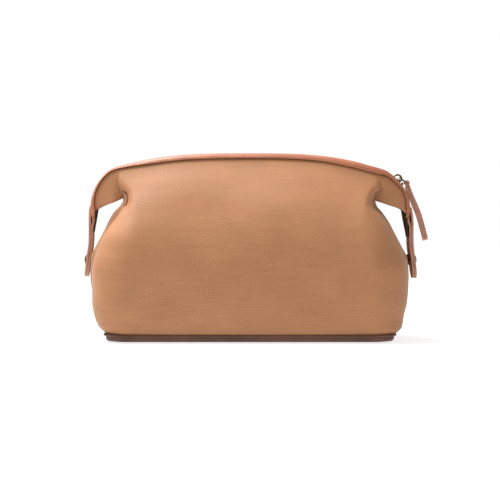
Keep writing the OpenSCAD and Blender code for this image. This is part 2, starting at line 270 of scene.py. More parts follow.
SEAM_AT = 0.8  # the corner seam's place between the middle of the front and the middle of a side
BODY_TOP = RIDGE - 5.2


def band_shown(x):
    return float(smooth_through(BAND[-1 if x < 0 else 1], abs(x)))


def fullness(x, y, z):
    """The gentle unevenness of filled cloth: a few broad hollows and swells, in millimetres."""
    inner = smoothstep((z - 10) / 30) * smoothstep((150 - z) / 40)
    swell = (1.1 * math.sin(x / 37 + 0.6) * math.sin(z / 29 + 1.1) + 0.7 * math.sin(x / 17 - z / 41)
             + 0.5 * math.sin((x + 1.7 * z) / 23 + 2))
    return float(inner) * swell


def grid_object(name, rows, uv_rows, material, thickness=0.0):
    """A sheet from rows of points in millimetres, with a UV map in millimetres and, if asked, a wall
    of that thickness on its inner side."""
    n_cols = len(rows[0])
    verts = [tuple(c * MM for c in p) for row in rows for p in row]
    faces, uvs = [], []
    for i in range(len(rows) - 1):
        for j in range(n_cols - 1):
            corners = [(i, j), (i, j + 1), (i + 1, j + 1), (i + 1, j)]
            faces.append([a * n_cols + b for a, b in corners])
            uvs += [uv_rows[a][b] for a, b in corners]
    mesh = bpy.data.meshes.new(name)
    mesh.from_pydata(verts, [], faces)
    layer = mesh.uv_layers.new(name="cloth")
    layer.data.foreach_set("uv", np.array(uvs, np.float32).ravel())
    mesh.materials.append(material)
    obj = bpy.data.objects.new(name, mesh)
    bpy.context.scene.collection.objects.link(obj)
    mesh.polygons.foreach_set("use_smooth", [True] * len(mesh.polygons))
    if thickness:
        wall = obj.modifiers.new("wall", "SOLIDIFY")
        wall.thickness = thickness * MM
        wall.offset = -1
    return finished(obj)


def finished(obj):
    """The object with its modifiers made part of its mesh."""
    if obj.modifiers:
        graph = bpy.context.evaluated_depsgraph_get()
        mesh = bpy.data.meshes.new_from_object(obj.evaluated_get(graph))
        obj.modifiers.clear()
        obj.data = mesh
        mesh.name = obj.name
    return obj


def measured_uvs(rows):
    """UVs in millimetres along and up a sheet, from its own lengths."""
    points = np.array(rows, float)
    up = np.zeros(points.shape[:2])
    up[1:] = np.cumsum(np.linalg.norm(np.diff(points, axis=0), axis=2), axis=0)
    along = np.zeros(points.shape[:2])
    along[:, 1:] = np.cumsum(np.linalg.norm(np.diff(points, axis=1), axis=2), axis=1)
    middle = along[:, along.shape[1] // 2][:, None]
    return np.stack([along - middle, up], axis=2).tolist()


# Heavy 2/1 cotton twill, piece dyed tan: steep diagonal ribs with the warp on top, dry and matte.
# The real ribs are about 1 mm apart; they are drawn at 1.7 mm so that they show.
TWILL_RIB = 1.7


def wave(tree, value, length, phase=0.0):
    """0 to 1 and back once every length."""
    turns = add(tree, "ShaderNodeMath", {0: value, 1: 2 * math.pi / length}, operation="MULTIPLY")
    moved = add(tree, "ShaderNodeMath", {0: turns.outputs[0], 1: phase}, operation="ADD")
    sine = add(tree, "ShaderNodeMath", {0: moved.outputs[0]}, operation="SINE")
    halved = add(tree, "ShaderNodeMath", {0: sine.outputs[0], 1: 0.5, 2: 0.5}, operation="MULTIPLY_ADD")
    return halved.outputs[0]


def woven_material(name, light, dark, warm, rib, depth, sheen=0.25):
    material, tree, shader = new_material(name, 0.6, sheen=sheen)
    shader.inputs["Sheen Roughness"].default_value = 0.45
    shader.inputs["Specular IOR Level"].default_value = 0.5
    uv = add(tree, "ShaderNodeUVMap", uv_map="cloth")
    wobble = add(tree, "ShaderNodeTexNoise", {"Vector": uv.outputs[0], "Scale": 0.45, "Detail": 2.0})
    shifted = add(tree, "ShaderNodeMath", {0: wobble.outputs["Fac"], 1: 0.55}, operation="MULTIPLY")
    parts = add(tree, "ShaderNodeSeparateXYZ", {0: uv.outputs[0]})
    across = add(tree, "ShaderNodeMath", {0: parts.outputs[0], 1: parts.outputs[1]}, operation="ADD")
    across = add(tree, "ShaderNodeMath", {0: across.outputs[0], 1: shifted.outputs[0]}, operation="ADD")
    ribs = wave(tree, across.outputs[0], rib * math.sqrt(2))
    picks = wave(tree, parts.outputs[1], rib / 1.3)
    threads = wave(tree, parts.outputs[0], rib / 1.3, 1.0)
    relief = add(tree, "ShaderNodeMath", {0: ribs, 1: 0.62, 2: 0.0}, operation="MULTIPLY_ADD")
    relief = add(tree, "ShaderNodeMath", {0: picks, 1: 0.2, 2: relief.outputs[0]}, operation="MULTIPLY_ADD")
    relief = add(tree, "ShaderNodeMath", {0: threads, 1: 0.18, 2: relief.outputs[0]},
                 operation="MULTIPLY_ADD")
    slub = add(tree, "ShaderNodeTexNoise", {"Vector": uv.outputs[0], "Scale": 0.9, "Detail": 4.0})
    cloud = add(tree, "ShaderNodeTexNoise", {"Vector": uv.outputs[0], "Scale": 0.035, "Detail": 3.0})
    weave = add(tree, "ShaderNodeValToRGB", {0: relief.outputs[0]}, [(0.12, dark), (0.8, light)])
    stretched = add(tree, "ShaderNodeMapping", {"Vector": uv.outputs[0], "Scale": (0.03, 0.7, 1.0)})
    streak = add(tree, "ShaderNodeTexNoise", {"Vector": stretched.outputs[0], "Scale": 1.0, "Detail": 2.0})
    fibre = add(tree, "ShaderNodeMapRange", {0: slub.outputs["Fac"], 1: 0.42, 2: 0.66, 3: 0.0, 4: 0.5})
    tinted = add(tree, "ShaderNodeMix", {0: fibre.outputs[0], 6: weave.outputs["Color"], 7: linear(warm)},
                 data_type="RGBA")
    patch = add(tree, "ShaderNodeMapRange", {0: cloud.outputs["Fac"], 1: 0.35, 2: 0.7, 3: 0.94, 4: 1.05})
    uneven = add(tree, "ShaderNodeMapRange", {0: streak.outputs["Fac"], 1: 0.3, 2: 0.7, 3: 0.94, 4: 1.05})
    toned = add(tree, "ShaderNodeMix", {0: 1.0, 6: tinted.outputs[2], 7: patch.outputs[0]},
                data_type="RGBA", blend_type="MULTIPLY")
    toned = add(tree, "ShaderNodeMix", {0: 1.0, 6: toned.outputs[2], 7: uneven.outputs[0]},
                data_type="RGBA", blend_type="MULTIPLY")
    connect(tree, shader, toned.outputs[2], relief.outputs[0], depth * MM)
    return material


canvas = woven_material("tan_cotton_twill", "#b98258", "#935f36", "#ab7349", TWILL_RIB, 0.10, sheen=0.12)

FRONT_COLS, BODY_ROWS = 136, 76
GUSSET_COLS = 34
GUSSET_STOP = 15.0  # the gussets stop this far below the zip, under the wings


def body_rows(arounds, inset=0.0, low=BASE_TOP, top=BODY_TOP, full=1.0):
    rows = []
    for height in np.linspace(low, top, BODY_ROWS):
        row = []
        for around in arounds:
            x, y, z = body_point(height, around, inset)
            z += (RIDGE - BODY_TOP - band_shown(x)) * float(smoothstep((height - 132) / 20))
            y -= math.copysign(1, y) * fullness(x, y, z) * full
            row.append(lifted((x, y, z)))
        rows.append(row)
    return rows


def mouth_weights(obj):
    """Reads the piece's vertex positions in millimetres; nothing is made from them."""
    count = len(obj.data.vertices)
    co = np.zeros(count * 3, np.float32)
    obj.data.vertices.foreach_get("co", co)
    co = co.reshape(-1, 3) / MM


def opens_with(obj):
    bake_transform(obj)
    mouth_weights(obj)


front_arounds = np.linspace(-SEAM_AT, SEAM_AT, FRONT_COLS)
front_rows = body_rows(front_arounds)
front_canvas = grid_object("front_canvas", front_rows, measured_uvs(front_rows), canvas, thickness=1.4)
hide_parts("front_panel", "front_panel_top")
opens_with(front_canvas)
back_arounds = [2 - a if a > 0 else -2 - a for a in front_arounds]
back_rows = body_rows(back_arounds[::-1])
back_canvas = grid_object("back_canvas", back_rows, measured_uvs(back_rows), canvas, thickness=1.4)
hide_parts("back_panel", "back_panel_top")
opens_with(back_canvas)

# The gussets close the two ends; pressed in by the folded wings, each has a soft tuck down its
# middle. Their twill is coloured darker than the front and back, as painted shade on the ends of the bag.
painted_shade_side_canvas = woven_material("shaded_cotton_twill", "#a87650", "#835435", "#9b6943", TWILL_RIB, 0.10,
                             sheen=0.08)
for side, word in ENDS:
    arounds = np.linspace(SEAM_AT, 2 - SEAM_AT, GUSSET_COLS) * side
    rows = body_rows(arounds if side > 0 else arounds[::-1], inset=0.5, top=BODY_TOP - GUSSET_STOP, full=0.0)
    gusset = grid_object(word + "_gusset_canvas", rows, measured_uvs(rows), painted_shade_side_canvas, thickness=1.3)
    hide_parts(word + "_gusset")
    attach(gusset, "shell")

# ---------------------------------------------------------------- lining
# A plain-woven cotton lining, bagged out inside and caught in the same seams as the canvas.
lining_cloth = woven_material("plain_cotton_lining", "#b9a487", "#8f7b62", "#a5917a", 0.9, 0.05, sheen=0.1)
LINING_IN = 2.6
for word, arounds, node_words, mouth in (
    ("front", front_arounds, ("front_lining", "front_top_lining"), "front_mouth"),
    ("back", back_arounds[::-1], ("back_lining", "back_top_lining"), "back_mouth"),
):
    rows = body_rows(arounds, LINING_IN, BASE_TOP + 0.6, BODY_TOP - 0.8, full=1.0)
    lining = grid_object(word + "_lining_cloth", rows, measured_uvs(rows), lining_cloth, thickness=0.5)
    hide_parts(*node_words)
    opens_with(lining)
for side, word in ENDS:
    arounds = np.linspace(SEAM_AT, 2 - SEAM_AT, GUSSET_COLS) * side
    rows = body_rows(arounds if side > 0 else arounds[::-1], LINING_IN, BASE_TOP + 0.6,
                     BODY_TOP - GUSSET_STOP - 2, full=0.0)
    lining = grid_object(word + "_lining_cloth", rows, measured_uvs(rows), lining_cloth, thickness=0.5)
    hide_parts(word + "_lining")
    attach(lining, "shell")

base_rows = []
for share in np.linspace(0.02, 1, 14):
    ring = [body_point(BASE_TOP, a, LINING_IN + 1.5) for a in np.linspace(-2, 2, 120)]
    base_rows.append([(x * share, y * share, BASE_TOP + 0.2 - 0.9 * (1 - share)) for x, y, _ in ring])
base_lining = grid_object("base_lining_cloth", base_rows,
                          [[(p[0], p[1]) for p in row] for row in base_rows], lining_cloth, thickness=0.5)
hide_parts("base_lining")
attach(base_lining, "shell")

# ---------------------------------------------------------------- base
# The base is one piece of saddle leather over a stiffening board. Its edge is turned up all round and
# finished with a rolled welt, which the canvas is sewn down to.
def skin_material(name, light, dark, roughness, grain, depth):
    """Vegetable-tanned leather: fine pebbled grain, soft clouds of colour, a low waxed sheen."""
    material, tree, shader = new_material(name, roughness)
    shader.inputs["Coat Weight"].default_value = 0.05
    shader.inputs["Coat Roughness"].default_value = 0.4
    place = add(tree, "ShaderNodeTexCoord").outputs["Object"]
    pebble = add(tree, "ShaderNodeTexVoronoi", {"Vector": place, "Scale": 1 / (grain * MM)})
    crease = add(tree, "ShaderNodeTexNoise",
                 {"Vector": place, "Scale": 1 / (3.2 * grain * MM), "Detail": 5.0})
    cloud = add(tree, "ShaderNodeTexNoise", {"Vector": place, "Scale": 1 / (22 * MM), "Detail": 3.0})
    relief = add(tree, "ShaderNodeMath", {0: pebble.outputs["Distance"], 1: 0.5, 2: 0.0},
                 operation="MULTIPLY_ADD")
    relief = add(tree, "ShaderNodeMath", {0: crease.outputs["Fac"], 1: 0.7, 2: relief.outputs[0]},
                 operation="MULTIPLY_ADD")
    blended = add(tree, "ShaderNodeMath", {0: cloud.outputs["Fac"], 1: relief.outputs[0]},
                  operation="MULTIPLY")
    colour = add(tree, "ShaderNodeValToRGB", {0: blended.outputs[0]}, [(0.1, dark), (0.52, light)])
    rough = add(tree, "ShaderNodeMapRange",
                {0: crease.outputs["Fac"], 1: 0.3, 2: 0.7, 3: roughness - 0.08, 4: roughness + 0.12})
    connect(tree, shader, colour.outputs["Color"], relief.outputs[0], depth * MM, rough.outputs[0])
    return material


saddle_leather = skin_material("saddle_leather", "#bc7350", "#8f4e31", 0.48, 0.8, 0.10)
# The base and its welt are coloured dark brown as painted shade for the underside, which sits in the bag's
# shadow.
base_leather = skin_material("base_leather", "#6a412c", "#452817", 0.5, 0.9, 0.12)
cut_edge = skin_material("burnished_leather_edge", "#cc967a", "#9c654e", 0.45, 0.5, 0.05)
# The facings' cut edges: dark edge dye, darkened further as painted shade for the shadow line under each
# facing.
dark_edge = skin_material("dark_dyed_edge", "#5a2f1c", "#34180d", 0.45, 0.5, 0.05)

BASE_CORNER = 14.0
BASE_HALF_W, BASE_HALF_D, BASE_ROLL = 122.4, 54.6, 2.6


def rounded_ring(half_w, half_d, radius, z, count=30):
    ring = []
    for cx, cy, start in ((1, 1, 0), (-1, 1, 90), (-1, -1, 180), (1, -1, 270)):
        for step in range(count + 1):
            angle = math.radians(start + 90 * step / count)
            ring.append((cx * (half_w - radius) + radius * math.cos(angle),
                         cy * (half_d - radius) + radius * math.sin(angle), z))
    return ring + ring[:1]


tray = []
for share in (0.02, 0.3, 0.6, 0.85, 0.95):
    tray.append([(x * share, y * share, 0.02) for x, y, _ in rounded_ring(122, 53, 13, 0)])
for step in range(7):
    turn = math.radians(15 * step)
    reach = BASE_ROLL * math.sin(turn) - BASE_ROLL
    tray.append(rounded_ring(BASE_HALF_W + reach, BASE_HALF_D + reach, BASE_CORNER,
                             0.02 + BASE_ROLL - BASE_ROLL * math.cos(turn)))
for z in (3.6, 4.6, 5.2):
    tray.append(rounded_ring(BASE_HALF_W - 0.1, BASE_HALF_D - 0.1, BASE_CORNER, z))
tray = [[lifted(p) for p in ring] for ring in tray]
base_tray = grid_object("leather_base", tray, measured_uvs(tray), base_leather, thickness=1.4)
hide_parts("base_panel")
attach(base_tray, "shell")

WELT_R, WELT_HEIGHT = 1.2, 5.3
welt_rows = []
for step in range(13):
    turn = 2 * math.pi * step / 12
    reach = WELT_R * math.cos(turn)
    welt_rows.append(rounded_ring(123.2 + reach, 54.2 + reach, BASE_CORNER,
                                  WELT_HEIGHT + WELT_R * math.sin(turn)))
welt_rows = [[lifted(p) for p in ring] for ring in welt_rows]
welt = grid_object("rolled_base_welt", welt_rows, measured_uvs(welt_rows), base_leather)
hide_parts("base_welt")
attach(welt, "shell")

# Grey board, only there to keep the base flat.
board_material, board_tree, board_shader = new_material("grey_fibre_board", 0.85)
board_place = add(board_tree, "ShaderNodeTexCoord").outputs["Object"]
board_fibres = add(board_tree, "ShaderNodeTexNoise", {"Vector": board_place, "Scale": 900.0, "Detail": 4.0})
board_grey = add(board_tree, "ShaderNodeValToRGB", {0: board_fibres.outputs["Fac"]},
                 [(0.3, "#3c3b38"), (0.7, "#5e5b55")])
connect(board_tree, board_shader, board_grey.outputs["Color"], board_fibres.outputs["Fac"], 0.1 * MM)


def refinish(node_name, material):
    """A CAD piece whose shape is right keeps it, and takes this finish."""
    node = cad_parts[node_name]
    node.data.materials.clear()
    node.data.materials.append(material)


refinish("base_board", board_material)


# ---------------------------------------------------------------- wings
# At each end the mouth runs on past the body and folds down outside it, like an ear. The ear is the
# same canvas, splayed where it leaves the shoulder and drawn in to the width of the leather tab.
WING_TOP = {  # the outer line, from the shoulder to the tab: (distance from the middle, height)
    -1: [(104, 151.8), (111.5, 149.9), (117, 148.2), (122, 145.4), (126.4, 141.2), (130.6, 135.8),
         (134.4, 128.6), (136.9, 120.2), (137.7, 113), (136.9, 105), (136.3, 98), (136.2, 91)],
    1: [(98.6, 151.7), (106, 149.4), (112, 147.7), (118, 145.4), (123.6, 141.2), (129.4, 135.2),
        (134, 128.8), (137.2, 120.5), (138.3, 112), (137.6, 104), (137.3, 97), (137.2, 91)],
}
EAR_EDGE = {  # the lower edge of the canvas ear, to the tip where it meets the leather
    -1: [(104, 125), (112, 121.4), (118, 118.6), (124.3, 116.2), (129.4, 113.6), (133.6, 110.8)],
    1: [(98, 124), (107, 120.4), (114.6, 118), (121.6, 115.6), (129, 113), (132.8, 110),
        (136, 106.6)],
}
EAR_END = {-1: 0.77, 1: 0.83}  # where along the outer line the canvas stops
EAR_SPLAY = [(0, 15), (0.2, 18), (0.4, 20), (0.65, 16), (1, 9.4)]
TOP_SPLAY = [(0, 14.2), (0.35, 13.6), (0.7, 11.4), (1, 9.2)]
WING_BAND = {  # how much of the facing shows down the wing
    -1: [(0, 1.9), (0.1, 1.5), (0.33, 1.2), (0.42, 1.3), (0.53, 1.6), (0.64, 2.4), (0.77, 3.8),
         (1, 4.6)],
    1: [(0, 4.5), (0.16, 4.3), (0.26, 3.4), (0.35, 2.7), (0.45, 2.3), (0.57, 2.2), (0.7, 2.9),
        (0.83, 4.2), (1, 5)],
}
WING_STATIONS = 34


def curve_at(points, t):
    """A point at share t of a smooth curve through points."""
    points = np.array(points, float)
    lengths = np.concatenate([[0], np.cumsum(np.linalg.norm(np.diff(points, axis=0), axis=1))])
    keys = lengths / lengths[-1]
    return np.array([float(smooth_through(list(zip(keys, values)), t)) for values in points.T])


def wing_frame(side, t):
    """The outer line's point at t, with its direction along the wing and its outward normal, in X and Z."""
    here = curve_at(WING_TOP[side], t)
    ahead = curve_at(WING_TOP[side], min(t + 0.01, 1)) - curve_at(WING_TOP[side], max(t - 0.01, 0))
    ahead /= np.linalg.norm(ahead)
    return here, ahead, np.array([-ahead[1], ahead[0]])


def wing_blend(obj):
    """Bakes the piece's placement into its mesh."""
    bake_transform(obj)


for side, word in ENDS:
    rows = []
    for share in np.linspace(0, 1, WING_STATIONS):
        t = share * EAR_END[side]
        top, ahead, out = wing_frame(side, t)
        start = top - (float(smooth_through(WING_BAND[side], t)) - 0.3) * out
        edge = curve_at(EAR_EDGE[side], share)
        top_y, edge_y = float(smooth_through(TOP_SPLAY, t)), float(smooth_through(EAR_SPLAY, share))
        depth = np.linalg.norm(edge - start)
        half = []
        for k in np.linspace(0, 1, 12):
            inner = (1 - share) ** 3 * float(smoothstep(share / 0.16))
            belly = 1.5 * math.sin(math.pi * k) * (1 - share)
            belly += 3 * k / 0.2 * math.exp(1 - k / 0.2) * inner
            xz = start + (edge - start) * k
            half.append((xz[0], top_y + (edge_y - top_y) * k + belly, xz[1]))
        for k in np.linspace(0.1, 1, 10):
            # the cloth turns under and is folded up between the two walls
            turn = math.pi / 2 * k
            xz = edge + (start - edge) / max(depth, 1) * min(0.35 * depth, 9) * (1 - math.cos(turn))
            xz = xz - 1.1 * math.sin(2 * turn) * out * min(depth / 12, 1)
            half.append((xz[0], edge_y * (1 - 0.94 * math.sin(turn) ** 1.4), xz[1]))
        loop = [(x * side, -y, z) for x, y, z in half] + [(x * side, y, z) for x, y, z in half[::-1]]
        rows.append(loop if side > 0 else loop[::-1])
    turned_uvs = [[(v, u) for u, v in row] for row in measured_uvs(rows)]
    ear = grid_object(word + "_wing_ear", rows, turned_uvs, canvas, thickness=1.1)
    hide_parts(word + "_wing_canvas")
    wing_blend(ear)


# ---------------------------------------------------------------- leather facings
# Two strips of saddle leather run from tab to tab, one each side of the zip. Each is folded over the
# canvas edge and stitched through, so that it stands as a rounded band along the ridge and the wings.
FACING_T = 1.35
FACING_SECTION = [(6.4, -1.9), (7.2, -0.7), (9, 0), (11.6, -0.1), (13.8, -1), (15.3, -2.5), (16.4, -4),
                  (17, -5.4), (17.1, -6.3)]
FACING_BAND = 5.2  # how much shows where the section is at its full height
FACING_ROWS = 90


def strip_object(name, rows, thickness, edge, offset=-1):
    """A strip of saddle leather: a sheet with a wall, and its cut edge in the edge's finish."""
    obj = grid_object(name, rows, measured_uvs(rows), saddle_leather)
    obj.data.materials.append(edge)
    wall = obj.modifiers.new("wall", "SOLIDIFY")
    wall.thickness = thickness * MM
    wall.offset = offset
    wall.material_offset_rim = 1
    soft = obj.modifiers.new("rounded_edge", "BEVEL")
    soft.width = min(0.3, thickness * 0.3) * MM
    soft.segments = 2
    soft.limit_method = "ANGLE"
    soft.angle_limit = math.radians(50)
    return finished(obj)


def smooth_section(section, count=4):
    """More points round a section's bends."""
    shares = np.linspace(0, 1, (len(section) - 1) * count + 1)
    return [curve_at(section, t) for t in shares]


facing_section = smooth_section(FACING_SECTION, 3)
MAIN_FROM, MAIN_TO = -SHOULDER[-1], SHOULDER[1]
for front, word in WALLS:
    rows = []
    for x in np.linspace(MAIN_FROM, MAIN_TO, FACING_ROWS):
        z = RIDGE - float(ridge_drop(np.array(x)))
        slope = -(float(ridge_drop(np.array(x + 0.5))) - float(ridge_drop(np.array(x - 0.5))))
        out = np.array([-slope, 1]) / math.hypot(slope, 1)
        share = band_shown(x) / FACING_BAND
        rows.append([(x + out[0] * n * share, front * y, z + out[1] * n * share) for y, n in facing_section])
    facing = strip_object(word + "_facing_leather", rows if front < 0 else rows[::-1], FACING_T, dark_edge)
    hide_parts(word + "_facing")
    opens_with(facing)


def wing_facing_point(side, front, t, y, n):
    """A point of the facing's section carried down the wing, where it narrows and flattens in the tab."""
    top, ahead, out = wing_frame(side, t)
    share = float(smooth_through(WING_BAND[side], t)) / FACING_BAND
    narrow = float(smooth_through(TOP_SPLAY, t)) / 14.2
    flat = float(smoothstep((t - 0.72) / 0.17))
    first, last = 6.4, 17.1
    along = (y - first) / (last - first)
    low, high = first + (1.6 - first) * flat, last * narrow + (8.4 - last * narrow) * flat
    depth = n * share * (1 - flat) - 0.3 * flat
    return (top[0] + out[0] * depth) * side, front * (low + (high - low) * along), top[1] + out[1] * depth


for side, word in ENDS:
    made = []
    for front, wall_word in WALLS:
        rows = []
        for t in np.linspace(0.055, 0.9, 44):
            rows.append([wing_facing_point(side, front, t, y, n) for y, n in facing_section])
        outward = rows if (front < 0) == (side > 0) else rows[::-1]
        made.append(strip_object(word + "_" + wall_word + "_wing_facing", outward, FACING_T, dark_edge))
    for facing in made:
        wing_blend(facing)
    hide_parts(word + "_wing_facings")


# ---------------------------------------------------------------- zip
# A brass chain on brown cotton tape, sewn under the facings. The teeth are stamped from brass wire
# and left to darken; each row's teeth sit in the gaps of the other's.
ZIP_R = 386.0
ZIP_TOP = 157.5
TEETH_PITCH = 3.0
tape_cotton = woven_material("brown_zip_tape", "#7a5038", "#4c2f20", "#66412c", 0.8, 0.05, sheen=0.05)


def zip_height(x):
    return ZIP_TOP - ZIP_R + math.sqrt(ZIP_R**2 - x * x)


def brass(name, light, dark, roughness):
    """Antiqued brass: bright where it rubs, brown where the finish stays."""
    material, tree, shader = new_material(name, roughness, metallic=1.0)
    place = add(tree, "ShaderNodeTexCoord").outputs["Object"]
    stain = add(tree, "ShaderNodeTexNoise", {"Vector": place, "Scale": 420.0, "Detail": 5.0})
    scratch = add(tree, "ShaderNodeTexNoise", {"Vector": place, "Scale": 2200.0, "Detail": 2.0})
    rough = add(tree, "ShaderNodeMapRange",
                {0: stain.outputs["Fac"], 1: 0.3, 2: 0.7, 3: roughness - 0.08, 4: roughness + 0.14})
    colour = add(tree, "ShaderNodeValToRGB", {0: stain.outputs["Fac"]}, [(0.36, dark), (0.64, light)])
    connect(tree, shader, colour.outputs["Color"], scratch.outputs["Fac"], 0.02 * MM, rough.outputs[0])
    return material


antique_brass = brass("antique_brass", "#94794a", "#463722", 0.34)
zip_brass = brass("dark_zip_brass", "#9c7f4c", "#59452a", 0.34)

for front, word in WALLS:
    rows = []
    for x in np.linspace(MAIN_FROM - 0.5, MAIN_TO + 0.5, 80):
        low, high = zip_height(x), RIDGE - float(ridge_drop(np.array(x))) - 2.2
        rise = [(1.3, 0), (3.2, 0), (5.0, 0.06), (6.4, 0.35), (7.6, 0.8), (9.4, 1.0)]
        rows.append([(x, front * y, low + (max(high, low + 0.2) - low) * k) for y, k in rise])
    tape = grid_object(word + "_zip_tape_cloth", rows if front < 0 else rows[::-1], measured_uvs(rows),
                       tape_cotton, thickness=0.6)
    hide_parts(word + "_zip_tape")
    opens_with(tape)


def tooth_unit():
    """One tooth: a stamped blade with a leg on the tape and a wider head at the middle of the chain."""
    outline = [(0.5, -3.4), (0.55, -1.2), (0.78, -0.6), (0.7, 0.1), (0.3, 0.5),
               (-0.3, 0.5), (-0.7, 0.1), (-0.78, -0.6), (-0.55, -1.2), (-0.5, -3.4)]
    count = len(outline)
    layers = [(-1.25, 0.8), (-0.95, 1.0), (0.95, 1.0), (1.25, 0.8)]
    verts = [(x * s * MM, y * MM, z * MM) for z, s in layers for x, y in outline]
    faces = [tuple(range(count))[::-1], tuple(range(3 * count, 4 * count))]
    for layer in range(3):
        for i in range(count):
            j = (i + 1) % count
            low, high = layer * count, (layer + 1) * count
            faces.append((low + i, low + j, high + j, high + i))
    mesh = bpy.data.meshes.new("tooth_unit")
    mesh.from_pydata(verts, [], faces)
    return bpy.data.objects.new("tooth_unit", mesh)


def repeat_along(name, path, unit, spacing, material, pivot="AUTO"):
    """Copies of a small unit along a path in millimetres, its X along the path, as one plain mesh."""
    mesh = bpy.data.meshes.new(name)
    steps = [(i, i + 1) for i in range(len(path) - 1)]
    mesh.from_pydata([tuple(c * MM for c in p) for p in path], steps, [])
    obj = bpy.data.objects.new(name, mesh)
    bpy.context.scene.collection.objects.link(obj)
    tree = bpy.data.node_groups.new(name + "_nodes", "GeometryNodeTree")
    tree.interface.new_socket("Geometry", in_out="INPUT", socket_type="NodeSocketGeometry")
    step = tree.interface.new_socket("Spacing", in_out="INPUT", socket_type="NodeSocketFloat")
    tree.interface.new_socket("Geometry", in_out="OUTPUT", socket_type="NodeSocketGeometry")
    inside = add(tree, "NodeGroupInput")
    line = add(tree, "GeometryNodeMeshToCurve", {"Mesh": inside.outputs["Geometry"]})
    spots = add(tree, "GeometryNodeCurveToPoints",
                {"Curve": line.outputs["Curve"], "Length": inside.outputs["Spacing"]}, mode="LENGTH")
    turned_to = add(tree, "FunctionNodeAlignRotationToVector", {"Vector": spots.outputs["Tangent"]},
                    axis="X", pivot_axis=pivot)
    shape = add(tree, "GeometryNodeObjectInfo", {"Object": unit})
    placed = add(tree, "GeometryNodeInstanceOnPoints",
                 {"Points": spots.outputs["Points"], "Instance": shape.outputs["Geometry"],
                  "Rotation": turned_to.outputs["Rotation"]})
    real = add(tree, "GeometryNodeRealizeInstances", {"Geometry": placed.outputs["Instances"]})
    painted = add(tree, "GeometryNodeSetMaterial",
                  {"Geometry": real.outputs["Geometry"], "Material": material})
    add(tree, "NodeGroupOutput", {"Geometry": painted.outputs["Geometry"]})
    modifier = obj.modifiers.new("repeat", "NODES")
    modifier.node_group = tree
    modifier[step.identifier] = spacing * MM
    return finished(obj)


tooth = tooth_unit()
back_tooth = tooth_unit()
back_tooth.data.transform(((1, 0, 0, 0), (0, -1, 0, 0), (0, 0, 1, 0), (0, 0, 0, 1)))
back_tooth.data.flip_normals()
TEETH_ROWS = ((tooth, 0.0, "front"), (back_tooth, TEETH_PITCH / 2, "back"))
for unit, shift, word in TEETH_ROWS:
    path = [(x + shift, 0, zip_height(x + shift)) for x in np.linspace(MAIN_FROM + 1, MAIN_TO - 1, 80)]
    teeth = repeat_along(word + "_zip_teeth_brass", path, unit, TEETH_PITCH, zip_brass, "Y")
    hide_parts(word + "_zip_teeth")
    opens_with(teeth)

# The last of the chain lies on the wings, down to the stops, its tape ends tucked into the tabs.
for side, word in ENDS:
    rows = []
    chain_end = 118.0 if side > 0 else 128.0
    for t in np.linspace(0.07, 0.86, 36):
        top, ahead, out = wing_frame(side, t)
        sunk = 1.2 + 2.2 * smoothstep((t - 0.05) / 0.3)
        middle = top - sunk * out
        near = 1 - float(smoothstep((top[0] - chain_end) / 9))
        on_arc = np.array([middle[0], min(zip_height(middle[0]), top[1] - 0.8)])
        middle = middle * (1 - near) + on_arc * near
        lift = (top - 2.0 * out) - middle
        half = [(1.0, 0), (3.6, 0.0), (5.4, 0.3), (7.0, 0.9), (8.6, 1.0)]
        line = [(middle[0] + lift[0] * k, -y, middle[1] + lift[1] * k) for y, k in half[::-1]]
        line += [(x, -y, z) for x, y, z in line[::-1]]
        rows.append([(x * side, y, z) for x, y, z in (line if side > 0 else line[::-1])])
    tape_end = grid_object(word + "_zip_tape_end", rows, measured_uvs(rows), tape_cotton, thickness=0.6)
    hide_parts(word + "_zip_end")
    wing_blend(tape_end)
    for unit, shift, row_word in TEETH_ROWS:
        spots = np.linspace(SHOULDER[side] + 1.2, chain_end, 24)
        path = [(side * (x + shift), 0, zip_height(x + shift)) for x in spots]
        teeth = repeat_along(word + "_" + row_word + "_teeth_end", path if side > 0 else path[::-1],
                             unit, TEETH_PITCH, zip_brass, "Y")
        wing_blend(teeth)
refinish("zip_top_stops", zip_brass)

# Under each ear a folded strip of cotton is tucked into the tab, coloured dark brown as painted shade for
# the shadow inside the ear.
painted_shade_pleat_cotton = woven_material("dark_brown_cotton", "#5a4132", "#3a281e", "#4a3427", 0.8, 0.05, sheen=0.0)
PLEAT_LINE = [(88, 135.4), (100, 135.6), (114, 136.6)]
for side, word in ENDS:
    rows = []
    for share in np.linspace(0, 1, 16):
        height = EAR_EDGE[side][-1][1] + 6 - 24 * share
        outer_x = float(smooth_through(PLEAT_LINE, height)) + 0.6 * (side > 0)
        width = 0.4 + 5.6 * (1 - share) ** 1.1
        half = [(outer_x - k * width, y) for k, y in ((0, 7.4), (0.4, 6.2), (0.8, 4), (1, 0.3))]
        ring = [(x * side, -y, height) for x, y in half] + [(x * side, y, height) for x, y in half[::-1]]
        rows.append(ring if side < 0 else ring[::-1])
    pleat = grid_object(word + "_wing_pleat", rows, measured_uvs(rows), painted_shade_pleat_cotton, thickness=0.7)
    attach(pleat, word + "_wing")
# ---------------------------------------------------------------- end tabs
# Two layers of saddle leather take the end of each wing between them and hang down to the snap. The
# edges are cut square and burnished, with one row of stitching all round.
TAB_HALF_W = 9.0
TAB_FACES = {  # the outer layer's outer face: (distance from the middle, height)
    -1: [(138.4, 114), (138.9, 106), (138.9, 100), (138.9, 92), (139.2, 83), (140.2, 76), (141.2, 69),
         (142.3, 61), (143.2, 54.5)],
    1: [(138.6, 114), (139.8, 107), (140.3, 100), (140.3, 92), (140.4, 83), (141.1, 76), (142, 69),
        (143, 61), (143.8, 53)],
}
TAB_TURN = {-1: 0.0, 1: 0.08}  # the right tab is turned a little to the front
TAB_LAYER = 1.8
TAB_SPREAD = [(0, 1.6), (0.18, 1.5), (0.28, 0.2), (1, 0.12)]  # the gap between the layers
THREAD_R = 0.28


